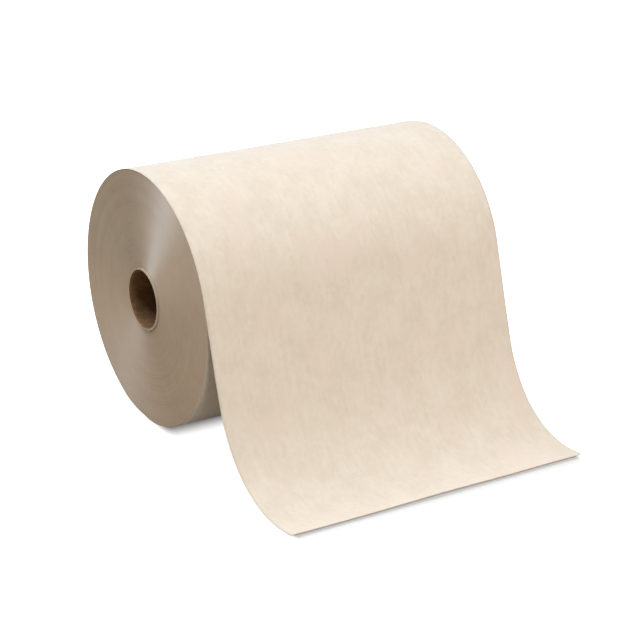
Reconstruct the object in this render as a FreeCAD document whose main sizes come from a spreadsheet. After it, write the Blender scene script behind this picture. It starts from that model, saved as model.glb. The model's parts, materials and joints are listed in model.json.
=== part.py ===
# Hard-wound paper towel roll lying on its side, with its loose end trailing down to the floor.
# Frame: +X along the roll's axis, the loose end towards -Y, +Z up, origin in the middle of the
# flat spot that the roll rests on. Lengths are in millimetres and angles in degrees.
import FreeCAD, Part
import Sketcher
import math
import os

DRIVING_SIZES = {
    # the wound turns
    "web_width": 254.0,
    "roll_diameter": 195.0,
    "flat_spot_width": 20.0,
    # the paperboard tube that the web is wound on
    "core_bore_diameter": 44.7,
    "core_wall": 1.5,
    "core_stand_out": 1.25,
    "winding_clearance": 0.2,
    # the loose end, from the line where it leaves the roll to its front edge
    "web_thickness": 0.2,
    "leave_angle": 69.5,
    "wide_bend_radius": 120.0,
    "tight_bend_angle": 49.5,
    "tight_bend_radius": 72.0,
    "lift_radius": 75.0,
    "lift_angle": 9.0,
    "side_lean_angle": 6.4,
    # the spiral line that the turns draw on each end of the roll
    "turn_line_pitch": 8.0,
    "turn_line_width": 0.5,
    "turn_line_depth": 0.4,
    "turn_line_margin": 3.0,
}

# expressions that more than one sketch uses
AXIS_HEIGHT = "sqrt(({roll_diameter} / 2) ^ 2 - ({flat_spot_width} / 2) ^ 2)"
HOLE_RADIUS = "{core_bore_diameter} / 2 + {core_wall} + {winding_clearance}"

# sketch geometry and point numbers that every sketch has
ORIGIN, ACROSS, UP = -1, -1, -2
START, END, CENTRE = 1, 2, 3


def add_sheet(doc):
    """Spreadsheet with one named cell for each driving size."""
    sheet = doc.addObject("Spreadsheet::Sheet", "Sizes")
    for row, (name, value) in enumerate(DRIVING_SIZES.items(), start=1):
        sheet.set("A%d" % row, name)
        sheet.set("B%d" % row, str(value))
        sheet.setAlias("B%d" % row, name)
    doc.recompute()
    return sheet


def bind(feature, path, expression):
    """Bind a property to the sheet, where {name} in the expression stands for a cell."""
    cells = {name: "Sizes." + name for name in DRIVING_SIZES}
    feature.setExpression(path, expression.format(**cells))


def add_sketch(body, name, plane):
    """Sketch on one of the body's own origin planes."""
    sketch = body.newObject("Sketcher::SketchObject", name)
    role_of = {feature.Role: feature for feature in body.Origin.OriginFeatures}
    sketch.AttachmentSupport = (role_of[plane], "")
    sketch.MapMode = "FlatFace"
    return sketch


def constrain(sketch, *arguments, name=None, size=None):
    """Add a constraint, and name it and bind it where it carries a size."""
    index = sketch.addConstraint(Sketcher.Constraint(*arguments))
    if name:
        sketch.renameConstraint(index, name)
    if size:
        bind(sketch, "Constraints." + name, size)
    return index


def line(u_1, v_1, u_2, v_2):
    return Part.LineSegment(FreeCAD.Vector(u_1, v_1), FreeCAD.Vector(u_2, v_2))


def circle(centre, radius):
    return Part.Circle(FreeCAD.Vector(*centre), FreeCAD.Vector(0, 0, 1), radius)


def arc(centre, radius, from_point, to_point):
    """Arc that runs anticlockwise from the side that one point lies on to that of another."""
    angles = [math.atan2(point.y - centre.y, point.x - centre.x) for point in (from_point, to_point)]
    return Part.ArcOfCircle(circle(centre, radius), *angles)


def axis_height(sheet):
    """Height of the roll's axis, a little under its radius because of the flat spot."""
    return math.sqrt((sheet.roll_diameter / 2) ** 2 - (sheet.flat_spot_width / 2) ** 2)


def add_core(doc, sheet):
    """Paperboard tube, a little longer than the web is wide, so that it stands out at both ends."""
    body = doc.addObject("PartDesign::Body", "core_tube")
    sketch = add_sketch(body, "core_section", "YZ_Plane")
    centre = (0, axis_height(sheet))
    bore_radius = sheet.core_bore_diameter / 2
    bore = sketch.addGeometry(circle(centre, bore_radius))
    outside = sketch.addGeometry(circle(centre, bore_radius + sheet.core_wall))
    constrain(sketch, "PointOnObject", bore, CENTRE, UP)
    constrain(
        sketch, "DistanceY", ORIGIN, START, bore, CENTRE, centre[1],
        name="axis_height", size=AXIS_HEIGHT,
    )
    constrain(sketch, "Coincident", outside, CENTRE, bore, CENTRE)
    constrain(sketch, "Radius", bore, bore_radius, name="bore_radius", size="{core_bore_diameter} / 2")
    constrain(
        sketch, "Radius", outside, bore_radius + sheet.core_wall,
        name="outside_radius", size="{core_bore_diameter} / 2 + {core_wall}",
    )
    pad = body.newObject("PartDesign::Pad", "core_pad")
    pad.Profile = sketch
    pad.SideType = "Symmetric"
    bind(pad, "Length", "{web_width} + 2 * {core_stand_out}")
    return body


def slope_vector(slope, length):
    """Step of a given length down a slope towards -Y."""
    return FreeCAD.Vector(-math.cos(math.radians(slope)), -math.sin(math.radians(slope))) * length


def outward_vector(slope, length):
    """Step of a given length square to a slope, away from the roll and the floor."""
    return FreeCAD.Vector(-math.sin(math.radians(slope)), math.cos(math.radians(slope))) * length


def draw_web_outline(sketch, sheet):
    """Outline of the last turn, the loose end and the turn under it, seen along +X.

    The last turn runs over the top and leaves the roll in a straight stretch, which bends
    outwards twice to lie on the floor and lifts a little at its front edge.
    """
    radius = sheet.roll_diameter / 2
    web = sheet.web_thickness
    leave, change, lift = sheet.leave_angle, sheet.tight_bend_angle, sheet.lift_angle
    wide, tight, raised = sheet.wide_bend_radius, sheet.tight_bend_radius, sheet.lift_radius
    centre = FreeCAD.Vector(0, axis_height(sheet))

    # the straight stretch takes up the height that the two bends leave over
    leave_point = centre + outward_vector(leave, radius)
    bend_drop = (outward_vector(change, wide) - outward_vector(leave, wide)).y
    bend_drop += (outward_vector(0, tight) - outward_vector(change, tight)).y
    straight = (leave_point.y - web - bend_drop) / math.sin(math.radians(leave))
    bend_point = leave_point + slope_vector(leave, straight)
    wide_centre = bend_point + outward_vector(leave, wide)
    change_point = wide_centre - outward_vector(change, wide)
    tight_centre = change_point + outward_vector(change, tight)
    level_point = tight_centre - outward_vector(0, tight)
    lift_centre = level_point + outward_vector(0, raised)
    front_top = lift_centre - outward_vector(-lift, raised)
    front_under = lift_centre - outward_vector(-lift, raised + web)
    under_leave = centre + outward_vector(leave, radius - web)
    under_bend = under_leave + slope_vector(leave, straight)
    flat_back = FreeCAD.Vector(sheet.flat_spot_width / 2, 0)
    flat_front = FreeCAD.Vector(-math.sqrt((radius - web) ** 2 - centre.y ** 2), 0)

    last_turn = sketch.addGeometry(arc(centre, radius, flat_back, leave_point))
    top_straight = sketch.addGeometry(line(*leave_point[:2], *bend_point[:2]))
    top_wide = sketch.addGeometry(arc(wide_centre, wide, change_point, bend_point))
    top_tight = sketch.addGeometry(arc(tight_centre, tight, level_point, change_point))
    top_lift = sketch.addGeometry(arc(lift_centre, raised, front_top, level_point))
    front = sketch.addGeometry(line(*front_top[:2], *front_under[:2]))
    under_lift = sketch.addGeometry(arc(lift_centre, raised + web, front_top, level_point))
    under_tight = sketch.addGeometry(arc(tight_centre, tight + web, level_point, change_point))
    under_wide = sketch.addGeometry(arc(wide_centre, wide + web, change_point, bend_point))
    under_straight = sketch.addGeometry(line(*under_bend[:2], *under_leave[:2]))
    turn_under = sketch.addGeometry(arc(centre, radius - web, leave_point, flat_front))
    flat_spot = sketch.addGeometry(line(*flat_front[:2], *flat_back[:2]))

    # the two turns and the flat spot
    constrain(sketch, "PointOnObject", last_turn, CENTRE, UP)
    constrain(
        sketch, "DistanceY", ORIGIN, START, last_turn, CENTRE, centre.y,
        name="axis_height", size=AXIS_HEIGHT,
    )
    constrain(sketch, "Radius", last_turn, radius, name="last_turn_radius", size="{roll_diameter} / 2")
    constrain(sketch, "Coincident", turn_under, CENTRE, last_turn, CENTRE)
    constrain(
        sketch, "Radius", turn_under, radius - web,
        name="turn_under_radius", size="{roll_diameter} / 2 - {web_thickness}",
    )
    constrain(sketch, "PointOnObject", last_turn, START, ACROSS)
    constrain(sketch, "PointOnObject", turn_under, END, ACROSS)
    constrain(sketch, "Coincident", flat_spot, START, turn_under, END)
    constrain(sketch, "Coincident", flat_spot, END, last_turn, START)

    # the upper side of the loose end, down to its front edge
    constrain(sketch, "Tangent", last_turn, END, top_straight, START)
    constrain(sketch, "Tangent", top_straight, END, top_wide, END)
    constrain(sketch, "Tangent", top_wide, START, top_tight, END)
    constrain(sketch, "Tangent", top_tight, START, top_lift, END)
    constrain(sketch, "Vertical", top_tight, CENTRE, top_tight, START)
    constrain(sketch, "Radius", top_wide, wide, name="wide_radius", size="{wide_bend_radius}")
    constrain(sketch, "Radius", top_tight, tight, name="tight_radius", size="{tight_bend_radius}")
    constrain(sketch, "Radius", top_lift, raised, name="lift_radius", size="{lift_radius}")
    constrain(
        sketch, "Angle", top_wide, math.radians(leave - change),
        name="wide_angle", size="{leave_angle} - {tight_bend_angle}",
    )
    constrain(
        sketch, "Angle", top_tight, math.radians(change),
        name="tight_angle", size="{tight_bend_angle}",
    )
    constrain(sketch, "Angle", top_lift, math.radians(lift), name="lift_angle", size="{lift_angle}")

    # its underside, one web thickness nearer to the roll, touching the floor where it is level
    constrain(sketch, "Tangent", under_straight, END, turn_under, START)
    constrain(sketch, "Tangent", under_straight, START, under_wide, END)
    constrain(sketch, "Coincident", under_wide, CENTRE, top_wide, CENTRE)
    constrain(
        sketch, "Radius", under_wide, wide + web,
        name="under_wide_radius", size="{wide_bend_radius} + {web_thickness}",
    )
    constrain(
        sketch, "Angle", under_wide, math.radians(leave - change),
        name="under_wide_angle", size="{leave_angle} - {tight_bend_angle}",
    )
    constrain(sketch, "Coincident", under_tight, CENTRE, top_tight, CENTRE)
    constrain(sketch, "Coincident", under_tight, END, under_wide, START)
    constrain(sketch, "Vertical", under_tight, CENTRE, under_tight, START)
    constrain(sketch, "PointOnObject", under_tight, START, ACROSS)
    constrain(sketch, "Coincident", under_lift, CENTRE, top_lift, CENTRE)
    constrain(sketch, "Coincident", under_lift, END, under_tight, START)
    constrain(sketch, "Coincident", front, START, top_lift, START)
    constrain(sketch, "Coincident", front, END, under_lift, START)
    constrain(sketch, "PointOnObject", top_lift, CENTRE, front)

    # where the bend starts, measured for the trim that sets the side edges
    reach = constrain(sketch, "DistanceX", top_wide, END, ORIGIN, START, -bend_point.x, name="bend_reach")
    sketch.setDriving(reach, False)
    return -bend_point.x


def draw_side_trim(sketch, sheet, bend_reach):
    """Plan of the web inside a larger frame: what lies between the two is trimmed away.

    The side edges run square to the axis over the roll and down to the bend, and lean from
    there on.
    """
    half_width = sheet.web_width / 2
    back, front = sheet.roll_diameter, -2 * sheet.roll_diameter
    drift = (-bend_reach - front) * math.tan(math.radians(sheet.side_lean_angle))
    corners = [
        (-half_width, back), (half_width, back), (half_width, -bend_reach),
        (half_width + drift, front), (-half_width + drift, front), (-half_width, -bend_reach),
    ]
    plan = [
        sketch.addGeometry(line(*corner, *corners[(index + 1) % len(corners)]))
        for index, corner in enumerate(corners)
    ]
    back_edge, far_side, far_lean, front_edge, near_lean, near_side = plan
    for index, edge in enumerate(plan):
        constrain(sketch, "Coincident", edge, END, plan[(index + 1) % len(plan)], START)
    constrain(sketch, "Symmetric", back_edge, START, back_edge, END, UP)
    constrain(
        sketch, "DistanceX", back_edge, START, back_edge, END, 2 * half_width,
        name="width", size="{web_width}",
    )
    constrain(
        sketch, "DistanceY", ORIGIN, START, back_edge, START, back,
        name="back_reach", size="{roll_diameter}",
    )
    constrain(sketch, "Vertical", far_side)
    constrain(sketch, "Vertical", near_side)
    constrain(sketch, "Horizontal", far_side, END, near_side, START)
    constrain(sketch, "DistanceY", near_side, START, ORIGIN, START, bend_reach, name="bend_reach")
    sketch.setExpression("Constraints.bend_reach", "web_outline.Constraints.bend_reach")
    constrain(sketch, "Parallel", far_lean, near_lean)
    constrain(sketch, "Horizontal", front_edge)
    constrain(
        sketch, "DistanceY", front_edge, START, ORIGIN, START, -front,
        name="front_reach", size="2 * {roll_diameter}",
    )
    constrain(
        sketch, "Angle", near_side, END, near_lean, END, math.radians(sheet.side_lean_angle),
        name="lean", size="{side_lean_angle}",
    )

    margin = sheet.web_width
    left, right, low, high = -half_width - margin, half_width + margin, front - margin, back + margin
    frame = [
        sketch.addGeometry(line(left, high, right, high)),
        sketch.addGeometry(line(right, high, right, low)),
        sketch.addGeometry(line(right, low, left, low)),
        sketch.addGeometry(line(left, low, left, high)),
    ]
    top, far, bottom, near = frame
    for index, edge in enumerate(frame):
        constrain(sketch, "Coincident", edge, END, frame[(index + 1) % len(frame)], START)
    constrain(sketch, "Horizontal", top)
    constrain(sketch, "Horizontal", bottom)
    constrain(sketch, "Vertical", far)
    constrain(sketch, "Vertical", near)
    constrain(
        sketch, "DistanceX", top, START, back_edge, START, margin,
        name="near_margin", size="{web_width}",
    )
    constrain(
        sketch, "DistanceX", back_edge, END, top, END, margin,
        name="far_margin", size="{web_width}",
    )
    constrain(
        sketch, "DistanceY", back_edge, START, top, START, margin,
        name="back_margin", size="{web_width}",
    )
    constrain(
        sketch, "DistanceY", bottom, START, front_edge, START, margin,
        name="front_margin", size="{web_width}",
    )


def add_web(doc, sheet):
    """All the turns and the loose end as one solid, with the hole that the core sits in."""
    body = doc.addObject("PartDesign::Body", "wound_web")
    outline = add_sketch(body, "web_outline", "YZ_Plane")
    bend_reach = draw_web_outline(outline, sheet)
    web_pad = body.newObject("PartDesign::Pad", "web_pad")
    web_pad.Profile = outline
    web_pad.SideType = "Symmetric"
    bind(web_pad, "Length", "{web_width} + 4 * {roll_diameter} * tan({side_lean_angle})")

    trim = add_sketch(body, "side_trim", "XY_Plane")
    draw_side_trim(trim, sheet, bend_reach)
    side_cut = body.newObject("PartDesign::Pocket", "side_cut")
    side_cut.Profile = trim
    side_cut.SideType = "Symmetric"
    bind(side_cut, "Length", "4 * {roll_diameter}")

    hole = add_sketch(body, "core_hole", "YZ_Plane")
    centre = (0, axis_height(sheet))
    radius = sheet.core_bore_diameter / 2 + sheet.core_wall + sheet.winding_clearance
    edge = hole.addGeometry(circle(centre, radius))
    constrain(hole, "PointOnObject", edge, CENTRE, UP)
    constrain(
        hole, "DistanceY", ORIGIN, START, edge, CENTRE, centre[1],
        name="axis_height", size=AXIS_HEIGHT,
    )
    constrain(hole, "Radius", edge, radius, name="hole_radius", size=HOLE_RADIUS)
    hole_cut = body.newObject("PartDesign::Pocket", "hole_cut")
    hole_cut.Profile = hole
    hole_cut.SideType = "Symmetric"
    bind(hole_cut, "Length", "2 * {web_width}")
    return body


def turn_line_outline(sheet):
    """Narrow closed wire along a spiral of half circles, in the plane through the roll's middle.

    Half circles about two centres half a pitch apart join smoothly, and each is half a pitch
    larger than the one before.
    """
    half_pitch = sheet.turn_line_pitch / 2
    half_line = sheet.turn_line_width / 2
    height = axis_height(sheet)
    first = sheet.core_bore_diameter / 2 + sheet.core_wall + sheet.winding_clearance + sheet.turn_line_pitch
    last = height - sheet.web_thickness - sheet.turn_line_margin
    count = int((last - first) / half_pitch)

    def half_circle(index, offset):
        centre_y = half_pitch * (index % 2)
        radius = first + half_pitch * index + offset
        side = 1 if index % 2 == 0 else -1
        start = FreeCAD.Vector(0, centre_y + side * radius, height)
        middle = FreeCAD.Vector(0, centre_y, height + side * radius)
        end = FreeCAD.Vector(0, centre_y - side * radius, height)
        return Part.Arc(start, middle, end).toShape(), start, end

    outer = [half_circle(index, half_line) for index in range(count)]
    inner = [half_circle(index, -half_line) for index in range(count)]
    start_cap = Part.makeLine(outer[0][1], inner[0][1])
    end_cap = Part.makeLine(outer[-1][2], inner[-1][2])
    edges = [start_cap, end_cap] + [piece[0] for piece in outer + inner]
    return Part.Wire(Part.__sortEdges__(edges))


def add_turn_lines(doc, sheet):
    """Cutters for the spiral line on the two ends of the roll."""
    face = Part.Face(turn_line_outline(sheet))
    depth = sheet.turn_line_depth
    near = face.extrude(FreeCAD.Vector(2 * depth, 0, 0))
    near.translate(FreeCAD.Vector(-sheet.web_width / 2 - depth, 0, 0))
    far = face.extrude(FreeCAD.Vector(2 * depth, 0, 0))
    far.translate(FreeCAD.Vector(sheet.web_width / 2 - depth, 0, 0))
    cutter = doc.addObject("Part::Feature", "turn_lines")
    cutter.Shape = Part.Compound([near, far])
    return cutter


def add_towel_web(doc, web, turn_lines):
    """The wound web with the spiral line cut into both ends."""
    cut = doc.addObject("Part::Cut", "towel_web")
    cut.Base = web
    cut.Tool = turn_lines
    return cut


def check_document(doc, sub_parts):
    """Stop if a feature failed or a sub-part has no sound solid."""
    for feature in doc.Objects:
        if {"Invalid", "Error"} & set(feature.State):
            raise RuntimeError("%s failed to build: %s" % (feature.Label, feature.State))
        if feature.TypeId == "Sketcher::SketchObject" and feature.solve() != 0:
            raise RuntimeError("the sketch %s has no solution" % feature.Label)
    for node in sub_parts:
        if node.Shape.isNull() or not node.Shape.isValid() or len(node.Shape.Solids) != 1:
            raise RuntimeError("%s isn't one sound solid" % node.Label)


def main():
    doc = FreeCAD.newDocument("paper_towel_roll")
    sheet = add_sheet(doc)
    core = add_core(doc, sheet)
    web = add_web(doc, sheet)
    turn_lines = add_turn_lines(doc, sheet)
    towel_web = add_towel_web(doc, web, turn_lines)
    core.Label = "core_tube"
    towel_web.Label = "towel_web"
    doc.recompute()
    sub_parts = [core, towel_web]
    check_document(doc, sub_parts)
    os.makedirs("parts", exist_ok=True)
    for node in sub_parts:
        node.Shape.exportStep("parts/%s.step" % node.Label)
        print(node.Label, "volume %.1f mm3" % node.Shape.Volume, node.Shape.BoundBox)


main()
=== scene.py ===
"""Looks of a hard-wound paper towel roll that lies on its side with its loose end on the floor.

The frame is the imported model: +X along the roll's axis, the loose end towards -Y, +Z up, in
metres. The sheet that shows is one strip of paper, a whole last turn and the loose end. The
turns under it show only at their cut ends, and the paperboard core stands a little proud there.
"""

import json
import logging
import math
from dataclasses import dataclass, field
from enum import Enum

import bmesh
import bpy
import numpy as np
from mathutils import Matrix, Vector

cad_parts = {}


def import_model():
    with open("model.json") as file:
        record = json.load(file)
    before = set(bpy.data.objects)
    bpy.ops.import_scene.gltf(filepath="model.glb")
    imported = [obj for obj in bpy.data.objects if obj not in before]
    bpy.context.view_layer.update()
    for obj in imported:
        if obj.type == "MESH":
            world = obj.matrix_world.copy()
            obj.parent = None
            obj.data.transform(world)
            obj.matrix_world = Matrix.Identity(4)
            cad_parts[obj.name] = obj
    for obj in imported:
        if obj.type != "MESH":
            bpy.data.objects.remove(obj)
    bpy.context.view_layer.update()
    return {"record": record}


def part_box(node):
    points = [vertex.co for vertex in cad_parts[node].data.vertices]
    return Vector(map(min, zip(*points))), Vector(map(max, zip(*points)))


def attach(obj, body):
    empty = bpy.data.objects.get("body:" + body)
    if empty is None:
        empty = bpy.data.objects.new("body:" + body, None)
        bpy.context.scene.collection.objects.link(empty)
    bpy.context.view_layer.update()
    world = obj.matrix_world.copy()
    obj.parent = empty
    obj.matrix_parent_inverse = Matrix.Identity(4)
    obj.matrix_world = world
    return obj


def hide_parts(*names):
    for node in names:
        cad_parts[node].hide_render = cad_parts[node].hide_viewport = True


LOG = logging.getLogger("paper_towel_roll")
MM = 0.001
WELD = 0.001 * MM
TURN = 2 * math.pi
WEB_MAP = "web"
Colour = tuple[float, float, float, float]
Triple = tuple[float, float, float]
Pair = tuple[float, float]
Socket = bpy.types.NodeSocket


def linear(red: int, green: int, blue: int) -> Colour:
    """Colour for a shader from the values that a screen shows, by the sRGB curve.

    Args:
        red: Value from 0 to 255.
        green: Value from 0 to 255.
        blue: Value from 0 to 255.

    Returns:
        The scene-linear colour with an alpha of 1.
    """
    shares = (value / 255 for value in (red, green, blue))
    parts = [s / 12.92 if s <= 0.04045 else ((s + 0.055) / 1.055) ** 2.4 for s in shares]
    return (*parts, 1.0)


def ease(share: np.ndarray) -> np.ndarray:
    """Bend an even rise from 0 to 1 into one that starts and ends softly."""
    return share**2 * (3 - 2 * share)


class Side(Enum):
    """The two cut ends of the roll, with the way each faces along X."""

    NEAR = -1
    FAR = 1


class Noise:
    """Smooth repeatable noise between -1 and 1, read from a seeded lattice."""

    CELLS = 512

    def __init__(self, seed: int) -> None:
        """Fill the lattice.

        Args:
            seed: Seed of the random values.
        """
        self.lattice = np.random.default_rng(seed).uniform(-1, 1, (self.CELLS, self.CELLS))

    def over(self, across: np.ndarray, along: np.ndarray) -> np.ndarray:
        """Noise over a plane.

        Args:
            across: First coordinate, one unit to a lattice cell.
            along: Second coordinate, of the same shape.

        Returns:
            The noise at each pair of coordinates.
        """
        low_u, low_v = np.floor(across).astype(int), np.floor(along).astype(int)
        part_u, part_v = across - low_u, along - low_v
        ease_u, ease_v = ease(part_u), ease(part_v)
        u_0, u_1 = low_u % self.CELLS, (low_u + 1) % self.CELLS
        v_0, v_1 = low_v % self.CELLS, (low_v + 1) % self.CELLS
        first = self.lattice[u_0, v_0] * (1 - ease_v) + self.lattice[u_0, v_1] * ease_v
        second = self.lattice[u_1, v_0] * (1 - ease_v) + self.lattice[u_1, v_1] * ease_v
        return first * (1 - ease_u) + second * ease_u

    def along(self, place: np.ndarray) -> np.ndarray:
        """Noise along a line, one unit to a lattice cell."""
        return self.over(place, np.zeros_like(place))


def make_piece(
    name: str, points: np.ndarray, faces: list[tuple[int, ...]], web: np.ndarray | None = None
) -> bpy.types.Object:
    """Mesh object from points and faces, welded where points coincide.

    Args:
        name: Name of the object and its mesh.
        points: Array of points in metres.
        faces: Corner numbers of each face, in order round it.
        web: Place of each point across and along the paper, kept as a UV map.

    Returns:
        The object, linked to the scene, shaded smooth.
    """
    keys = np.round(points / WELD).astype(np.int64)
    _, first, merged = np.unique(keys, axis=0, return_index=True, return_inverse=True)
    merged = merged.reshape(-1)
    kept = []
    for face in faces:
        corners = [int(merged[corner]) for corner in face]
        ring = [c for i, c in enumerate(corners) if c != corners[i - 1]]
        if len(ring) > 2 and len(set(ring)) == len(ring):
            kept.append(tuple(ring))
    mesh = bpy.data.meshes.new(name)
    mesh.from_pydata(points[first].tolist(), [], kept)
    if web is not None:
        corner_points = np.empty(len(mesh.loops), dtype=np.int64)
        mesh.loops.foreach_get("vertex_index", corner_points)
        mesh.uv_layers.new(name=WEB_MAP).data.foreach_set("uv", web[first][corner_points].ravel())
    shape = bmesh.new()
    shape.from_mesh(mesh)
    bmesh.ops.delete(shape, geom=[v for v in shape.verts if not v.link_faces], context="VERTS")
    bmesh.ops.recalc_face_normals(shape, faces=shape.faces)
    shape.to_mesh(mesh)
    shape.free()
    mesh.shade_smooth()
    piece = bpy.data.objects.new(name, mesh)
    bpy.context.scene.collection.objects.link(piece)
    return piece


def grid_faces(index: np.ndarray, flip: bool = False) -> list[tuple[int, ...]]:
    """Four-sided faces of a grid of point numbers.

    Args:
        index: Two-dimensional array of point numbers.
        flip: Whether the faces run the other way round.

    Returns:
        The faces as tuples of point numbers.
    """
    quads = np.stack([index[:-1, :-1], index[1:, :-1], index[1:, 1:], index[:-1, 1:]], axis=-1)
    quads = quads.reshape(-1, 4)
    return [tuple(q) for q in (quads[:, ::-1] if flip else quads).tolist()]


@dataclass(frozen=True)
class RollSizes:
    """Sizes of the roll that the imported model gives, in metres."""

    half_width: float
    radius: float
    axis_height: float
    bore_radius: float
    core_length: float

    @classmethod
    def from_frame(cls, record: dict) -> "RollSizes":
        """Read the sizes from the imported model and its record.

        Args:
            record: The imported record, with the core's bore among its mounts.

        Returns:
            The sizes of the roll.
        """
        bore = next(mount for mount in record["mounts"] if mount["name"] == "core_bore")
        low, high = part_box("towel_web")
        axis_height = bore["pos_m"][2]
        return cls(
            half_width=-low.x,
            radius=high.z - axis_height,
            axis_height=axis_height,
            bore_radius=bore["dims"]["r_mm"] * MM,
            core_length=bore["dims"]["length_mm"] * MM,
        )


@dataclass
class WebPath:
    """Line that the outer side of the web follows, seen along +X.

    It is measured along the paper. Place 0 is where the loose end leaves the roll, places
    below 0 lie on the last turn and places above 0 on the loose end.
    """

    roll: RollSizes
    thickness: float = 0.2 * MM
    layer_gap: float = 0.03 * MM
    leave_slope: float = math.radians(69.5)
    wide_bend_radius: float = 120 * MM
    tight_bend_slope: float = math.radians(49.5)
    tight_bend_radius: float = 72 * MM
    lift_radius: float = 75 * MM
    lift_angle: float = math.radians(9)
    side_lean: float = math.radians(6.4)
    lean_ease: float = 12 * MM
    stretches: list[tuple[float, float | None]] = field(init=False)

    def __post_init__(self) -> None:
        """Work out the straight stretch, which takes up the height that the bends leave over."""
        drop = self.roll.axis_height + self.roll.radius * math.cos(self.leave_slope) - self.thickness
        drop -= self.wide_bend_radius * (math.cos(self.tight_bend_slope) - math.cos(self.leave_slope))
        drop -= self.tight_bend_radius * (1 - math.cos(self.tight_bend_slope))
        self.stretches = [
            (drop / math.sin(self.leave_slope), None),
            (self.wide_bend_radius * (self.leave_slope - self.tight_bend_slope), self.wide_bend_radius),
            (self.tight_bend_radius * self.tight_bend_slope, self.tight_bend_radius),
            (self.lift_radius * self.lift_angle, self.lift_radius),
        ]

    @property
    def turn_length(self) -> float:
        """Paper in the last turn."""
        return TURN * self.roll.radius

    @property
    def loose_length(self) -> float:
        """Paper in the loose end."""
        return sum(length for length, _ in self.stretches)

    def layer_radius(self, places: np.ndarray) -> np.ndarray:
        """Radius of the last turn's outer side, one layer smaller a turn earlier."""
        return self.roll.radius + (self.thickness + self.layer_gap) * places / self.turn_length

    def outer(self, places: np.ndarray) -> tuple[np.ndarray, np.ndarray, np.ndarray]:
        """Follow the outer side of the web.

        Args:
            places: Places along the paper in metres.

        Returns:
            The Y and Z of each place, and the slope of the paper there in radians.
        """
        slope = self.leave_slope + places / self.roll.radius
        radius = self.layer_radius(places)
        across = -radius * np.sin(slope)
        height = np.maximum(self.roll.axis_height + radius * np.cos(slope), 0)
        start, start_slope = 0.0, self.leave_slope
        point = np.array([
            -self.roll.radius * math.sin(start_slope),
            self.roll.axis_height + self.roll.radius * math.cos(start_slope),
        ])
        for length, bend in self.stretches:
            here = places > start
            run = places[here] - start
            if bend is None:
                slope[here] = start_slope
                across[here] = point[0] - run * math.cos(start_slope)
                height[here] = point[1] - run * math.sin(start_slope)
                end_slope = start_slope
                point = point - length * np.array([math.cos(start_slope), math.sin(start_slope)])
            else:
                centre = point + bend * np.array([-math.sin(start_slope), math.cos(start_slope)])
                slope[here] = start_slope - run / bend
                across[here] = centre[0] + bend * np.sin(slope[here])
                height[here] = centre[1] - bend * np.cos(slope[here])
                end_slope = start_slope - length / bend
                point = centre + bend * np.array([math.sin(end_slope), -math.cos(end_slope)])
            start, start_slope = start + length, end_slope
        return across, height, slope

    def drift(self, places: np.ndarray) -> np.ndarray:
        """Sideways shift of the loose end along +X.

        Args:
            places: Places along the paper in metres.

        Returns:
            The shift at each place, which starts softly at the bend and then grows evenly.
        """
        across, _, _ = self.outer(places)
        bend_place = np.array([self.stretches[0][0]])
        past_bend = self.outer(bend_place)[0][0] - across
        eased = (past_bend + np.sqrt(past_bend**2 + self.lean_ease**2)) / 2
        lean = math.tan(self.side_lean) * eased
        return np.where(places > 0, lean, 0) * np.clip(places / bend_place, 0, 1)


@dataclass(frozen=True)
class Swell:
    """Gentle swells of the paper.

    Attributes:
        across: Size of a swell across the web, in metres.
        along: Size of a swell along the web, in metres.
        shift: Where in the noise the swells are read, in lattice cells.
    """

    across: float
    along: float
    shift: float

    def over(self, noise: Noise, across: np.ndarray, along: np.ndarray) -> np.ndarray:
        """Rise of the swells, from 0 to 1, at points across and along the web in metres."""
        return (1 + noise.over(across / self.across + self.shift, along / self.along + self.shift)) / 2


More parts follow.
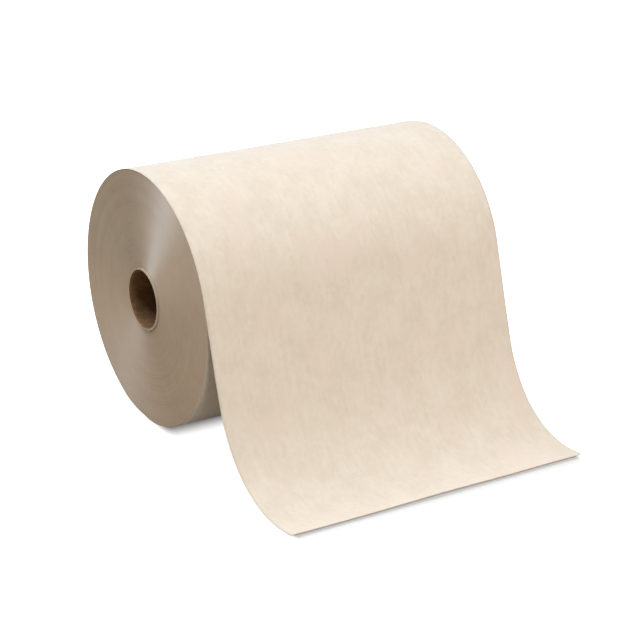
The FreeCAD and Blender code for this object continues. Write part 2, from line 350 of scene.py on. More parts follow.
@dataclass
class OuterSheet:
    """The last whole turn and the loose end: one strip of paper with its cut edges."""

    path: WebPath
    turn_step: float = 3.0 * MM
    loose_step: float = 1.6 * MM
    cross_step: float = 2.6 * MM
    turn_ripple: float = 0.04 * MM
    ripple_swells: Swell = Swell(38 * MM, 70 * MM, shift=140)
    loose_cockle: float = 0.22 * MM
    cockle_growth: float = 45 * MM
    wide_swells: Swell = Swell(52 * MM, 64 * MM, shift=40)
    wide_share: float = 0.7
    small_swells: Swell = Swell(19 * MM, 26 * MM, shift=90)
    front_lift: float = 1.15 * MM
    front_wave: float = 0.9 * MM
    front_reach: float = 40 * MM
    front_wave_size: float = 63 * MM
    front_wave_shift: float = 200
    noise: Noise = field(default_factory=lambda: Noise(seed=11))

    def places(self) -> np.ndarray:
        """Places along the paper of the strip's rows, closer together on the loose end.

        Returns:
            The places in metres.
        """
        turn_rows = int(self.path.turn_length / self.turn_step)
        loose_rows = int(self.path.loose_length / self.loose_step)
        turn = np.linspace(-self.path.turn_length, 0, turn_rows, endpoint=False)
        return np.concatenate([turn, np.linspace(0, self.path.loose_length, loose_rows + 1)])

    def relief(self, across: np.ndarray, along: np.ndarray) -> np.ndarray:
        """How far the paper stands out of its plain form, as cockles and a wavy front edge.

        Args:
            across: Distance across the web in metres.
            along: Place along the web in metres.

        Returns:
            The outward rise at each point, never below 0.
        """
        growth = ease(np.clip(along / self.cockle_growth, 0, 1))
        swells = (self.wide_swells, self.small_swells, self.ripple_swells)
        wide, small, ripple = (swell.over(self.noise, across, along) for swell in swells)
        cockle = self.loose_cockle * (self.wide_share * wide + (1 - self.wide_share) * small) * growth
        front = np.clip(1 - (self.path.loose_length - along) / self.front_reach, 0, 1) ** 2
        wave = (1 + self.noise.along(across / self.front_wave_size + self.front_wave_shift)) / 2
        lift = (self.front_lift + self.front_wave * wave) * front
        return np.where(along > 0, cockle + lift, 0) + self.turn_ripple * ripple * (1 - growth)

    def build(self) -> bpy.types.Object:
        """Make the strip as a closed thin mesh with its web coordinates.

        Returns:
            The piece.
        """
        roll, path = self.path.roll, self.path
        places = self.places()
        columns = int(2 * roll.half_width / self.cross_step)
        widths = np.linspace(-roll.half_width, roll.half_width, columns + 1)
        along, across = np.meshgrid(places, widths, indexing="ij")
        line_y, line_z, slope = (np.repeat(v[:, None], columns + 1, axis=1) for v in path.outer(places))
        shift = np.repeat(path.drift(places)[:, None], columns + 1, axis=1)
        rise = self.relief(across, along)
        on_roll = along <= 0
        layers = []
        for depth in (0.0, path.thickness):
            out = rise - depth
            y = line_y - out * np.sin(slope)
            z = line_z + out * np.cos(slope)
            floor = np.where(on_roll, depth, path.thickness - depth)
            layers.append(np.stack([across + shift, y, np.maximum(z, floor)], axis=-1))
        points = np.concatenate([layer.reshape(-1, 3) for layer in layers])
        web = np.stack([across, along], axis=-1).reshape(-1, 2)
        index = np.arange(len(points)).reshape(2, len(places), columns + 1)
        outside, inside = index
        faces = grid_faces(outside) + grid_faces(inside, flip=True)
        for edge in (np.s_[0, :], np.s_[-1, :], np.s_[:, 0], np.s_[:, -1]):
            faces += grid_faces(np.stack([outside[edge], inside[edge]]))
        piece = make_piece("loose_end_sheet", points, faces, np.concatenate([web, web]))
        self.mark_wound_edges(piece)
        return piece

    def mark_wound_edges(self, piece: bpy.types.Object) -> None:
        """Give the side edges of the last turn the second finish, that of the turns under it.

        Args:
            piece: The strip.
        """
        sideways = 0.7
        web = piece.data.uv_layers[WEB_MAP].uv
        for face in piece.data.polygons:
            if abs(face.normal.x) > sideways and web[face.loop_start].vector.y < 0:
                face.material_index = 1


@dataclass
class WoundTurns:
    """The turns under the last one, which show at the two cut ends.

    A drawn turn stands for several real ones. Each row of the spiral stands out a little more or
    less than the next, and so does each band of turns. Rows and bands have noise of their own.
    """

    path: WebPath
    core_wall: float = 1.5 * MM
    core_gap: float = 0.2 * MM
    turn_pitch: float = 2.0 * MM
    rows_per_turn: int = 3
    columns: int = 288
    turn_step: float = 0.045 * MM
    slow_step: float = 0.12 * MM
    groove_depth: float = 0.04 * MM
    turn_noise_cells: float = 2.7
    slow_noise_cells: float = 0.31
    turn_side_shift: float = 60
    slow_side_shift: float = 30
    noise: Noise = field(default_factory=lambda: Noise(seed=23))

    @property
    def hole_radius(self) -> float:
        """Radius of the first turn's inner side."""
        return self.path.roll.bore_radius + self.core_wall + self.core_gap

    @property
    def outer_radius(self) -> float:
        """Radius of the turn under the last one."""
        return self.path.roll.radius - 2 * (self.path.thickness + self.path.layer_gap)

    def end_rings(self, side: Side) -> np.ndarray:
        """Points of one cut end, in rows that follow the spiral of the turns.

        Args:
            side: Which end.

        Returns:
            Points by row and column, where a turn's last column is the next turn's first.
        """
        roll = self.path.roll
        turns = int((self.outer_radius - self.hole_radius) / self.turn_pitch) + 2
        rows = np.arange(-self.rows_per_turn, turns * self.rows_per_turn + 1)
        angle = np.linspace(0, TURN, self.columns + 1)
        row, turned = np.meshgrid(rows, angle, indexing="ij")
        free_radius = self.hole_radius + self.turn_pitch * (row / self.rows_per_turn + turned / TURN)
        radius = np.clip(free_radius, self.hole_radius, self.outer_radius)
        free = (free_radius > self.hole_radius + WELD) & (free_radius < self.outer_radius)
        turn = np.floor(row / self.rows_per_turn) + turned / TURN
        rows_noise = self.noise.along(turn * self.turn_noise_cells + self.turn_side_shift * side.value)
        bands_noise = self.noise.along(turn * self.slow_noise_cells + self.slow_side_shift * side.value)
        height = self.turn_step * rows_noise + self.slow_step * bands_noise
        height -= self.groove_depth * (row % self.rows_per_turn == 0)
        height[~free] = 0
        slope = turned + self.path.leave_slope
        floor = self.path.thickness + self.path.layer_gap
        y = -radius * np.sin(slope)
        z = np.maximum(roll.axis_height + radius * np.cos(slope), floor)
        return np.stack([side.value * (roll.half_width + height), y, z], axis=-1)

    def build(self) -> bpy.types.Object:
        """Make both cut ends, the barrel and the hole as one closed mesh.

        Returns:
            The piece.
        """
        ends = [self.end_rings(side) for side in Side]
        shape = ends[0].shape[:2]
        points = np.concatenate([end.reshape(-1, 3) for end in ends])
        near, far = np.arange(len(points)).reshape(2, *shape)
        faces = grid_faces(near) + grid_faces(far, flip=True)
        faces += grid_faces(np.stack([near[-1], far[-1]]))
        faces += grid_faces(np.stack([near[0], far[0]]), flip=True)
        return make_piece("wound_turns", points, faces)


@dataclass
class CoreTube:
    """Spiral-wound paperboard tube with its butt seam and its cut, layered ends."""

    roll: RollSizes
    wall: float = 1.5 * MM
    plies: int = 3
    ply_gap: float = 0.05 * MM
    ply_gap_depth: float = 0.14 * MM
    edge_round: float = 0.12 * MM
    strip_width: float = 68 * MM
    seam_width: float = 0.8 * MM
    seam_depth: float = 0.22 * MM
    seam_floor: float = 0.4
    row_step: float = 2.5 * MM
    column_step: float = 1.9 * MM
    noise: Noise = field(default_factory=lambda: Noise(seed=37))

    @property
    def lead(self) -> float:
        """Distance along the tube in which the seam goes once round."""
        girth = TURN * (self.roll.bore_radius + self.wall / 2)
        return self.strip_width / math.sqrt(1 - (self.strip_width / girth) ** 2)

    def profile(self) -> list[tuple[float, float, float]]:
        """Closed section of the wall.

        Returns:
            Radius, X and share of the seam's depth of each point, up the bore, over the far
            end, back along the outside and over the near end.
        """
        bore, half = self.roll.bore_radius, self.roll.core_length / 2
        outside = bore + self.wall
        rows = int((2 * half - 2 * self.edge_round) / self.row_step)
        lengthwise = np.linspace(-half + self.edge_round, half - self.edge_round, rows + 1)
        end = [(bore + self.edge_round, 0.0)]
        for ply in range(1, self.plies):
            joint = bore + self.wall * ply / self.plies
            for step, depth in ((-1, 0.0), (0, self.ply_gap_depth), (1, 0.0)):
                end.append((joint + step * self.ply_gap, depth))
        end.append((outside - self.edge_round, 0.0))
        points = [(bore, x, 1.0) for x in lengthwise]
        points += [(radius, half - depth, 0.0) for radius, depth in end]
        points += [(outside, x, -1.0) for x in lengthwise[::-1]]
        points += [(radius, depth - half, 0.0) for radius, depth in reversed(end)]
        return points

    def seam_columns(self) -> list[tuple[float, float]]:
        """Columns round the tube, starting at the seam.

        Returns:
            Angle from the seam and share of its depth of each column.
        """
        radius = self.roll.bore_radius
        half = self.seam_width / 2
        floor = half * self.seam_floor
        seam = [(-half, 0.0), (-floor, 1.0), (floor, 1.0), (half, 0.0)]
        plain = np.linspace(half, TURN * radius - half, int(TURN * radius / self.column_step))[1:-1]
        return [(offset / radius, share) for offset, share in seam + [(p, 0.0) for p in plain]]

    def build(self) -> bpy.types.Object:
        """Make the tube as one closed mesh whose columns follow the seam.

        Returns:
            The piece.
        """
        profile, columns = self.profile(), self.seam_columns()
        points = []
        for radius, x, wall_share in profile:
            for angle, seam_share in columns:
                turned = angle + TURN * x / self.lead
                reach = radius + self.seam_depth * seam_share * wall_share
                y, z = reach * math.cos(turned), self.roll.axis_height + reach * math.sin(turned)
                points.append((x, y, z))
        index = np.arange(len(points)).reshape(len(profile), len(columns))
        index = np.concatenate([index, index[:1]])
        index = np.concatenate([index, index[:, :1]], axis=1)
        return make_piece("paperboard_core", np.array(points), grid_faces(index))


class NodeBoard:
    """Nodes of one material, with short calls for the kinds that the finishes share."""

    def __init__(self, name: str) -> None:
        """Start a material.

        Args:
            name: Name of the material.
        """
        self.material = bpy.data.materials.new(name)
        self.material.use_nodes = True
        self.tree = self.material.node_tree
        self.shader = self.tree.nodes["Principled BSDF"]

    def put(self, kind: str, sockets: dict[str | int, object], **options: object) -> bpy.types.Node:
        """Add a node.

        Args:
            kind: Type name of the node.
            sockets: Value or source socket of each input, by its name or number.
            **options: Settings of the node itself.

        Returns:
            The node.
        """
        node = self.tree.nodes.new(kind)
        for option, value in options.items():
            setattr(node, option, value)
        for place, value in sockets.items():
            self.feed(node, place, value)
        return node

    def feed(self, node: bpy.types.Node, place: str | int, value: object) -> None:
        """Set an input to a value, or link it to a source socket.

        Args:
            node: Node whose input is set.
            place: Name or number of the input.
            value: Plain value or source socket.
        """
        if isinstance(value, bpy.types.NodeSocket):
            self.tree.links.new(value, node.inputs[place])
        else:
            node.inputs[place].default_value = value

    def finish(self, sockets: dict[str, object]) -> None:
        """Set or link inputs of the material's own shader."""
        for place, value in sockets.items():
            self.feed(self.shader, place, value)

    def scaled(self, place: Socket, sizes: Triple, shift: float = 0.0) -> Socket:
        """Coordinates in units of a feature's size.

        Args:
            place: Coordinates in metres.
            sizes: Size of the feature along each axis, in metres.
            shift: Shift in units, which sets one layer of noise apart from the next.

        Returns:
            The coordinates' socket.
        """
        shares = tuple(1 / size for size in sizes)
        sockets = {0: place, 1: shares, 2: (shift, shift, shift)}
        return self.put("ShaderNodeVectorMath", sockets, operation="MULTIPLY_ADD").outputs[0]

    def ranged(
        self, value: Socket, low: float, high: float, start: float = 0.0, end: float = 1.0
    ) -> Socket:
        """Ease a value between two limits.

        Args:
            value: Value socket.
            low: Value at and below which the result is start.
            high: Value at and above which the result is end.
            start: First result.
            end: Last result.

        Returns:
            The result's socket.
        """
        sockets = {0: value, 1: low, 2: high, 3: start, 4: end}
        return self.put("ShaderNodeMapRange", sockets, interpolation_type="SMOOTHSTEP").outputs[0]

    def marks(
        self, place: Socket, density: float, chosen: Pair, width: Pair, dimensions: str = "3D"
    ) -> Socket:
        """Small marks at some of the points of a random scatter.

        Args:
            place: Coordinates.
            density: Points to a unit of the coordinates.
            chosen: Random values below which a point is bare and above which it is marked in full.
            width: Distances from a point at which its mark starts to fade and is gone.
            dimensions: Whether the scatter is flat, "2D", or fills space, "3D".

        Returns:
            The share of the marks' colour.
        """
        sockets = {"Vector": place, "Scale": density}
        cells = self.put("ShaderNodeTexVoronoi", sockets, voronoi_dimensions=dimensions)
        chance = self.put("ShaderNodeSeparateColor", {0: cells.outputs[1]}).outputs[0]
        return self.times(self.ranged(cells.outputs[0], *width, 1.0, 0.0), self.ranged(chance, *chosen))

    def distance_to_axis(self, place: Socket, axis_height: float) -> Socket:
        """Distance of a place to the roll's axis.

        Args:
            place: Coordinates in metres.
            axis_height: Height of the axis in metres.

        Returns:
            The value socket.
        """
        flat = {0: place, 1: (0.0, 1.0, 1.0), 2: (0.0, 0.0, -axis_height)}
        spoke = self.put("ShaderNodeVectorMath", flat, operation="MULTIPLY_ADD").outputs[0]
        return self.put("ShaderNodeVectorMath", {0: spoke}, operation="LENGTH").outputs["Value"]

    def fold(self, operation: str, parts: tuple[object, ...]) -> Socket:
        """Join values or value sockets by one operation, from the first to the last.

        Args:
            operation: Name of the operation.
            parts: The values or value sockets.

        Returns:
            The result's socket.
        """
        result = parts[0]
        for part in parts[1:]:
            result = self.put("ShaderNodeMath", {0: result, 1: part}, operation=operation).outputs[0]
        return result

    def sum(self, *parts: object) -> Socket:
        """Add values or value sockets."""
        return self.fold("ADD", parts)

    def times(self, *parts: object) -> Socket:
        """Multiply values or value sockets."""
        return self.fold("MULTIPLY", parts)

    def blend(self, share: object, first: object, second: object) -> Socket:
        """Mix two colours.

        Args:
            share: Share of the second colour.
            first: First colour.
            second: Second colour.

        Returns:
            The colour's socket.
        """
        node = self.put("ShaderNodeMix", {}, data_type="RGBA")
        for place, value in zip((0, 6, 7), (share, first, second)):
            self.feed(node, place, value)
        return node.outputs[2]

    def bump(self, height: Socket, depth: float) -> None:
        """Raise the shader's surface by a height socket times a depth in metres."""
        node = self.put("ShaderNodeBump", {"Height": height, "Distance": depth, "Strength": 1.0})
        self.feed(self.shader, "Normal", node.outputs[0])


@dataclass(frozen=True)
class Cloud:
    """One layer of cloudy noise in a finish.

    Attributes:
        sizes: Size of a cloud along each axis, in metres.
        shift: Shift in clouds, which sets the layer apart from the others.
        detail: Number of finer layers in it.
        fineness: Weight of the finer layers.
    """

    sizes: Triple
    shift: float = 0.0
    detail: float = 2.0
    fineness: float = 0.5

    def over(self, board: NodeBoard, place: Socket) -> Socket:
        """Lay the noise over a place.

        Args:
            board: Nodes of the material.
            place: Coordinates in metres.

        Returns:
            The noise, from 0 to 1.
        """
        scaled = board.scaled(place, self.sizes, self.shift)
        sockets = {"Vector": scaled, "Scale": 1.0, "Detail": self.detail, "Roughness": self.fineness}
        return board.put("ShaderNodeTexNoise", sockets).outputs[0]


@dataclass(frozen=True)
class FibreLot:
    """One lot of short stray fibres, a little bent, most of them along the web.

    Attributes:
        spacing: Mean distance between fibres, in metres.
        shift: Shift that sets the lot apart from the others.
        strength: Share of the fibres' colour that shows.
        tint: Colour of the fibres.
        slimness: Size of a fibre's cell across the web, in spacings.
        length: Size of a fibre's cell along the web, in spacings.
        wander_shift: Shift of the noise that bends the fibres.
        chosen: Random values between which a fibre comes to show.
        width: Distances from a fibre's middle between which it fades.
    """

    spacing: float
    shift: float
    strength: float
    tint: Colour
    slimness: float = 0.7
    length: float = 1.4
    wander_shift: float = 5.0
    chosen: Pair = (0.6, 0.9)
    width: Pair = (0.04, 0.26)

    def over(self, board: NodeBoard, web: Socket, colour: Socket) -> Socket:
        """Lay the fibres over a colour.

        Args:
            board: Nodes of the material.
            web: The web's coordinates.
            colour: Colour of the paper under them.

        Returns:
            The colour with the fibres.
        """
        wander = Cloud((self.spacing, self.spacing, 1), self.shift + self.wander_shift, detail=1.0)
        cell = (self.spacing * self.slimness, self.spacing * self.length, 1)
        sockets = {0: board.scaled(web, cell, self.shift), 1: wander.over(board, web)}
        bent = board.put("ShaderNodeVectorMath", sockets, operation="ADD").outputs[0]
        mark = board.marks(bent, 1.0, self.chosen, self.width, "2D")
        return board.blend(board.times(mark, self.strength), colour, self.tint)


@dataclass(frozen=True)
class TowelFace:
    """Face of the brown crepe paper: cloudy, faintly streaked along the web, with stray fibres.

    The sizes of its layers are across the web, along it and, with no effect, out of it.
    """

    light: Colour = linear(236, 225, 211)
    deep: Colour = linear(228, 215, 199)
    warm: Colour = linear(236, 219, 206)
    roughness: float = 0.62
    diffuse_roughness: float = 0.6
    specular_level: float = 0.25
    sheen: float = 0.45
    cloud: Cloud = Cloud((21 * MM, 26 * MM, 1), 0.0, 3.0, 0.6)
    cloud_share: float = 0.55
    streak: Cloud = Cloud((3.4 * MM, 30 * MM, 1), 11.0, 1.0)
    streak_share: float = 0.18
    grain: Cloud = Cloud((4.2 * MM, 6.0 * MM, 1), 23.0, 2.0, 0.6)
    grain_share: float = 0.37
    tone_range: Pair = (0.38, 0.72)
    blush: Cloud = Cloud((34 * MM, 42 * MM, 1), 37.0, 1.0)
    blush_range: Pair = (0.5, 0.75)
    blush_strength: float = 0.6
    fibres: tuple[FibreLot, ...] = (
        FibreLot(7 * MM, 51.0, 0.16, linear(205, 190, 170)),
        FibreLot(9 * MM, 67.0, 0.3, linear(242, 231, 216)),
    )
    crepe: Cloud = Cloud((4.5 * MM, 0.9 * MM, 1), 83.0, 2.0, 0.6)
    pulp: Cloud = Cloud((1.1 * MM, 1.1 * MM, 1), 97.0, 2.0)
    pulp_share: float = 0.5
    crepe_depth: float = 0.04 * MM

    def material(self) -> bpy.types.Material:
        """Build the material from the web's own coordinates.

        Returns:
            The material.
        """
        board = NodeBoard("brown_crepe_towel")
        web = board.put("ShaderNodeUVMap", {}, uv_map=WEB_MAP).outputs[0]
        tone = board.sum(
            board.times(self.cloud.over(board, web), self.cloud_share),
            board.times(self.streak.over(board, web), self.streak_share),
            board.times(self.grain.over(board, web), self.grain_share),
        )
        colour = board.blend(board.ranged(tone, *self.tone_range), self.light, self.deep)
        blush = board.ranged(self.blush.over(board, web), *self.blush_range, end=self.blush_strength)
        colour = board.blend(blush, colour, self.warm)
        for lot in self.fibres:
            colour = lot.over(board, web, colour)
        board.finish({
            "Base Color": colour,
            "Roughness": self.roughness,
            "Diffuse Roughness": self.diffuse_roughness,
            "Specular IOR Level": self.specular_level,
            "Sheen Weight": self.sheen,
        })
        pulp = board.times(self.pulp.over(board, web), self.pulp_share)
        board.bump(board.sum(self.crepe.over(board, web), pulp), self.crepe_depth)
        return board.material


@dataclass(frozen=True)
class CutTurns:
    """Cut end of the wound turns: darker than the paper's face, with a sheen across the rings.

    Its tone is made of fine rings, broader bands of turns and a cloud that crosses them. The
    roughness changes between two heights on the roll, low_height and high_height, which count
    in axis heights. The gloss of the pressed edges is drawn out by sheen_stretch, and sheen_turn
    turns it from along the rings to across them, in whole turns.
    """

    axis_height: float
    light: Colour = linear(167, 135, 96)
    deep: Colour = linear(159, 126, 87)
    fleck: Colour = linear(220, 206, 186)
    low_roughness: float = 1.0
    high_roughness: float = 0.7
    low_height: float = 0.6
    high_height: float = 1.3
    ior: float = 2.08
    specular_level: float = 1.0
    sheen_stretch: float = 0.86
    sheen_turn: float = 0.25
    ring_size: float = 0.5 * MM
    ring_share: float = 0.12
    band_size: float = 5.5 * MM
    band_share: float = 0.13
    ring_detail: float = 1.0
    cloud: Cloud = Cloud((17 * MM, 17 * MM, 17 * MM), 0.0, 3.0, 0.6)
    cloud_share: float = 0.75
    tone_range: Pair = (0.32, 0.68)
    fleck_spacing: float = 11 * MM
    fleck_chosen: Pair = (0.7, 0.8)
    fleck_width: Pair = (0.05, 0.12)
    fleck_strength: float = 0.7
    groove_depth: float = 0.045 * MM

    def material(self) -> bpy.types.Material:
        """Build the material from the distance to the roll's axis.

        Returns:
            The material.
        """
        board = NodeBoard("cut_towel_turns")
        place = board.put("ShaderNodeTexCoord", {}).outputs["Object"]
        radius = board.distance_to_axis(place, self.axis_height)
        rings = self.rings(board, radius, self.ring_size)
        tone = board.sum(
            board.times(rings, self.ring_share),
            board.times(self.rings(board, radius, self.band_size), self.band_share),
            board.times(self.cloud.over(board, place), self.cloud_share),
        )
        colour = board.blend(board.ranged(tone, *self.tone_range), self.light, self.deep)
        flecks = board.marks(place, 1 / self.fleck_spacing, self.fleck_chosen, self.fleck_width)
        tangent = board.put("ShaderNodeTangent", {}, direction_type="RADIAL", axis="X")
        board.finish({
            "Base Color": board.blend(board.times(flecks, self.fleck_strength), colour, self.fleck),
            "Roughness": self.height_roughness(board, place),
            "IOR": self.ior,
            "Specular IOR Level": self.specular_level,
            "Anisotropic": self.sheen_stretch,
            "Anisotropic Rotation": self.sheen_turn,
            "Tangent": tangent.outputs[0],
        })
        board.bump(rings, self.groove_depth)
        return board.material

    def height_roughness(self, board: NodeBoard, place: Socket) -> Socket:
        """Roughness by the height on the roll.

        Args:
            board: Nodes of the material.
            place: Coordinates in metres.

        Returns:
            The roughness.
        """
        height = board.put("ShaderNodeSeparateXYZ", {0: place}).outputs["Z"]
        low, high = self.low_height * self.axis_height, self.high_height * self.axis_height
        return board.ranged(height, low, high, self.low_roughness, self.high_roughness)

    def rings(self, board: NodeBoard, radius: Socket, size: float) -> Socket:
        """Ring lines of uneven strength.

        Args:
            board: Nodes of the material.
            radius: Distance to the axis in metres.
            size: Mean distance between lines in metres.

        Returns:
            The value socket.
        """
        sockets = {"W": board.times(radius, 1 / size), "Scale": 1.0, "Detail": self.ring_detail}
        return board.put("ShaderNodeTexNoise", sockets, noise_dimensions="1D").outputs[0]


@dataclass(frozen=True)
class CoreBoard:
    """Brown paperboard of the core, with short fibres along the wound strip.

    Between the two depths into the wall of edge_range, the bore's tone gives way to the paler
    colour of the cut ends and of the outside.
    """

    bore_radius: float
    axis_height: float
    light: Colour = linear(144, 105, 65)
    deep: Colour = linear(98, 67, 38)
    cut_edge: Colour = linear(200, 180, 156)
    edge_range: Pair = (0.03 * MM, 0.2 * MM)
    cloud: Cloud = Cloud((9 * MM, 5 * MM, 5 * MM), 0.0, 3.0, 0.6)
    fibre: Cloud = Cloud((0.6 * MM, 1.6 * MM, 1.6 * MM), 19.0, 2.0, 0.7)
    fibre_share: float = 0.5
    tone_range: Pair = (0.35, 0.65)
    fibre_depth: float = 0.06 * MM
    roughness: float = 0.8

    def material(self) -> bpy.types.Material:
        """Build the material from the tube's own coordinates.

        Returns:
            The material.
        """
        board = NodeBoard("brown_coreboard")
        place = board.put("ShaderNodeTexCoord", {}).outputs["Object"]
        fibre = self.fibre.over(board, place)
        tone = board.sum(
            board.times(self.cloud.over(board, place), 1 - self.fibre_share),
            board.times(fibre, self.fibre_share),
        )
        bore = board.blend(board.ranged(tone, *self.tone_range), self.light, self.deep)
        radius = board.distance_to_axis(place, self.axis_height)
        wall_share = board.ranged(radius, *(self.bore_radius + depth for depth in self.edge_range))
        board.finish({
            "Base Color": board.blend(wall_share, bore, self.cut_edge),
            "Roughness": self.roughness,
        })
        board.bump(fibre, self.fibre_depth)
        return board.material


def dress(piece: bpy.types.Object, finishes: list[bpy.types.Material], node: str) -> None:
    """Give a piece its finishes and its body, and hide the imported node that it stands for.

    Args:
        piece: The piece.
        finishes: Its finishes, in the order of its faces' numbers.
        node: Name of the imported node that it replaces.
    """
    for finish in finishes:
        piece.data.materials.append(finish)
    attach(piece, "root")
    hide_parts(node)
    LOG.info("%s: %d faces, for %s", piece.name, len(piece.data.polygons), node)


@dataclass(frozen=True)
class Camera:
    """Camera at the photograph's viewing angle, in the roll's own frame."""

    place: Triple = (-0.74035, -1.19403, 0.73031)
    yaw: float = math.radians(32.788)
    pitch: float = math.radians(25.695)
    tilt: float = math.radians(3.085)
    lens: float = 112.14
    sensor: float = 36.0

    def build(self) -> bpy.types.Object:
        """Make the camera and choose it.

        Returns:
            The camera.
        """
        forward = Vector((
            math.sin(self.yaw) * math.cos(self.pitch),
            math.cos(self.yaw) * math.cos(self.pitch),
            -math.sin(self.pitch),
        ))
        level = forward.cross(Vector((0, 0, 1))).normalized()
        upright = level.cross(forward)
        right = math.cos(self.tilt) * level + math.sin(self.tilt) * upright
        up = math.cos(self.tilt) * upright - math.sin(self.tilt) * level
        data = bpy.data.cameras.new("camera")
        data.lens, data.sensor_width, data.sensor_fit = self.lens, self.sensor, "HORIZONTAL"
        camera = bpy.data.objects.new("camera", data)
        camera.matrix_world = Matrix((right, up, -forward)).transposed().to_4x4()
        camera.location = self.place
        bpy.context.scene.collection.objects.link(camera)
        bpy.context.scene.camera = camera
        return camera


@dataclass(frozen=True)
class SoftLamp:
    """Square lamp, wide enough for a soft shadow."""

    name: str
    power: float
    colour: Triple
    place: Triple
    size: float = 1.1
    aim: Triple = (0.0, -0.05, 0.1)

    def build(self) -> bpy.types.Object:
        """Make the lamp, turned to what it is aimed at.

        Returns:
            The lamp.
        """
        data = bpy.data.lights.new(self.name, "AREA")
        data.shape, data.size, data.energy = "SQUARE", self.size, self.power
        data.color = self.colour
        lamp = bpy.data.objects.new(self.name, data)
        lamp.location = self.place
        aim = Vector(self.aim) - Vector(self.place)
        lamp.rotation_euler = aim.to_track_quat("-Z", "Y").to_euler()
        bpy.context.scene.collection.objects.link(lamp)
        return lamp


def shown_rays(tree: bpy.types.NodeTree) -> Socket:
    """Tell the rays that show the studio itself: those to the camera, in gloss and through glass.

    Args:
        tree: Nodes of the floor's material or of the world.

    Returns:
        A socket that is 1 for these rays and 0 for the rest.
    """
    rays = tree.nodes.new("ShaderNodeLightPath")
    shown = rays.outputs["Is Camera Ray"]
    for ray in ("Is Glossy Ray", "Is Transmission Ray"):
        either = tree.nodes.new("ShaderNodeMath")
        either.operation = "MAXIMUM"
        tree.links.new(shown, either.inputs[0])
        tree.links.new(rays.outputs[ray], either.inputs[1])
        shown = either.outputs[0]
    return shown


@dataclass(frozen=True)
class PaintedShadeLine:
    """Line on the floor along X, near which the floor glows less: painted shade, soft and thin, laid
    over the floor's own real shadow.

    Attributes:
        middle: Middle of the line.
        half_length: Half the line's length.
        overhang: Length by which the shade passes each end of the line.
        end_fade: Length over which the shade fades out at its ends.
        far: Distance from which all of the glow is left.
        near: Distance up to which only the kept share of the glow is left.
        kept: Share of the glow that is left at the line.
    """

    middle: Triple
    half_length: float
    overhang: float
    end_fade: float
    far: float
    near: float = 0.0
    kept: float = 0.0

    def share(self, board: NodeBoard) -> Socket:
        """Share of the glow that is left, by the distance to the line.

        Args:
            board: Nodes of the floor's material.

        Returns:
            The share, from 0 to 1.
        """
        place = board.put("ShaderNodeTexCoord", {}).outputs["Object"]
        offset = board.put("ShaderNodeVectorMath", {0: place, 1: self.middle}, operation="SUBTRACT")
        spans = board.put("ShaderNodeVectorMath", {0: offset.outputs[0]}, operation="ABSOLUTE")
        parts = board.put("ShaderNodeSeparateXYZ", {0: spans.outputs[0]}).outputs
        left = board.ranged(parts["Y"], self.near, self.far, self.kept, 1.0)
        end = self.half_length + self.overhang
        past_end = board.ranged(parts["X"], end - self.end_fade, end)
        return board.put("ShaderNodeMix", {0: past_end, 2: left, 3: 1.0}, data_type="FLOAT").outputs[0]


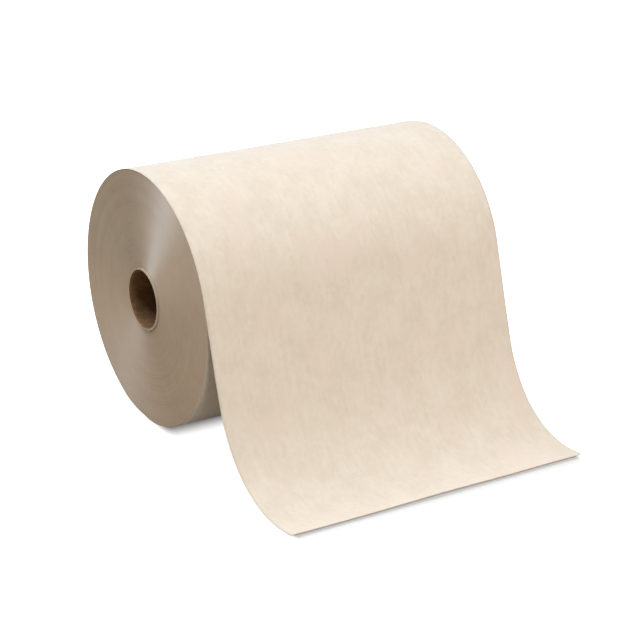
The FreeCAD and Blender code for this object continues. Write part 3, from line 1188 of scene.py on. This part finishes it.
@dataclass(frozen=True)
class Studio:
    """White floor with painted shade along two lines, a plain white surround, and soft light from above
    and from the front.

    Attributes:
        path: Line of the web, which says where its front edge lies.
        floor_size: Side of the floor.
        floor_bounce: Colour of the floor for the light that it gives back to the object.
        floor_shown: Colour of the floor to the camera, in gloss and through glass.
        floor_glow: Glow that whitens the floor to the camera alone, and lights nothing.
        surround_light: Strength of the light from all round.
        lamps: The two soft lamps.
    """

    path: WebPath
    floor_size: float = 3.2
    floor_bounce: Colour = (0.45, 0.4, 0.33, 1)
    floor_shown: Colour = (0.72, 0.72, 0.72, 1)
    floor_glow: float = 1.1
    surround_light: float = 0.12
    lamps: tuple[SoftLamp, ...] = (
        SoftLamp("overhead_softbox", 24.0, colour=(0.845, 0.93, 1.0), place=(-0.7, 0.58, 1.6)),
        SoftLamp("front_softbox", 25.7, colour=(1.0, 0.975, 0.93), place=(0.06, -1.4, 1.4)),
    )

    def painted_shade_lines(self) -> list[PaintedShadeLine]:
        """Work out where the floor glows less, which paints thin shade there.

        Returns:
            A line under the web's front edge and one under the roll.
        """
        half = self.path.roll.half_width
        edge = np.array([self.path.loose_length])
        edge_middle = (float(self.path.drift(edge)[0]), float(self.path.outer(edge)[0][0]), 0.0)
        roll_middle = (0.0, 0.0, 0.0)
        return [
            PaintedShadeLine(edge_middle, half, overhang=2 * MM, end_fade=8 * MM, far=30 * MM, kept=0.12),
            PaintedShadeLine(roll_middle, half, overhang=4 * MM, end_fade=14 * MM, far=51 * MM, near=21 * MM),
        ]

    def floor(self) -> bpy.types.Object:
        """Make the floor, white to the camera but for the object's shadow and the shade painted along
        the shade lines.

        Returns:
            The floor.
        """
        reach = self.floor_size / 2
        corners = [(-reach, -reach, 0), (reach, -reach, 0), (reach, reach, 0), (-reach, reach, 0)]
        floor = make_piece("studio_floor", np.array(corners, dtype=float), [(0, 1, 2, 3)])
        board = NodeBoard("white_floor")
        colour = board.blend(shown_rays(board.tree), self.floor_bounce, self.floor_shown)
        matt = board.put("ShaderNodeBsdfDiffuse", {"Color": colour})
        # The glow dims along the shade lines: painted shade near the front edge and under the roll.
        shine = board.times(self.floor_glow, *(line.share(board) for line in self.painted_shade_lines()))
        seen = board.put("ShaderNodeLightPath", {}).outputs["Is Camera Ray"]
        glow = board.put("ShaderNodeEmission", {"Strength": board.times(seen, shine)})
        both = board.put("ShaderNodeAddShader", {0: matt.outputs[0], 1: glow.outputs[0]})
        board.feed(board.tree.nodes["Material Output"], 0, both.outputs[0])
        board.tree.nodes.remove(board.shader)
        floor.data.materials.append(board.material)
        return floor

    def surround(self) -> None:
        """Light from all round, plain white to camera, glossy and transmission rays."""
        world = bpy.data.worlds.new("surround")
        world.use_nodes = True
        tree = world.node_tree
        background = tree.nodes["Background"]
        background.inputs["Color"].default_value = (1, 1, 1, 1)
        level = tree.nodes.new("ShaderNodeMapRange")
        tree.links.new(shown_rays(tree), level.inputs[0])
        level.inputs[3].default_value = self.surround_light
        level.inputs[4].default_value = 1.0
        tree.links.new(level.outputs[0], background.inputs["Strength"])
        bpy.context.scene.world = world

    def build(self) -> None:
        """Set up the floor, the surround and the lamps."""
        self.floor()
        self.surround()
        for lamp in self.lamps:
            lamp.build()
        bpy.context.scene.view_settings.view_transform = "Standard"


def main() -> None:
    """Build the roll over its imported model, then the studio and the camera."""
    logging.basicConfig(level=logging.INFO, format="%(message)s")
    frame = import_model()
    roll = RollSizes.from_frame(frame["record"])
    path = WebPath(roll)

    cut_ends = CutTurns(roll.axis_height).material()

    turns = WoundTurns(path).build()
    dress(turns, [cut_ends], "towel_web")

    sheet = OuterSheet(path).build()
    dress(sheet, [TowelFace().material(), cut_ends], "towel_web")

    core = CoreTube(roll).build()
    coreboard = CoreBoard(roll.bore_radius, roll.axis_height).material()
    dress(core, [coreboard], "core_tube")

    Studio(path).build()
    Camera().build()


if __name__ == "__main__":
    main()
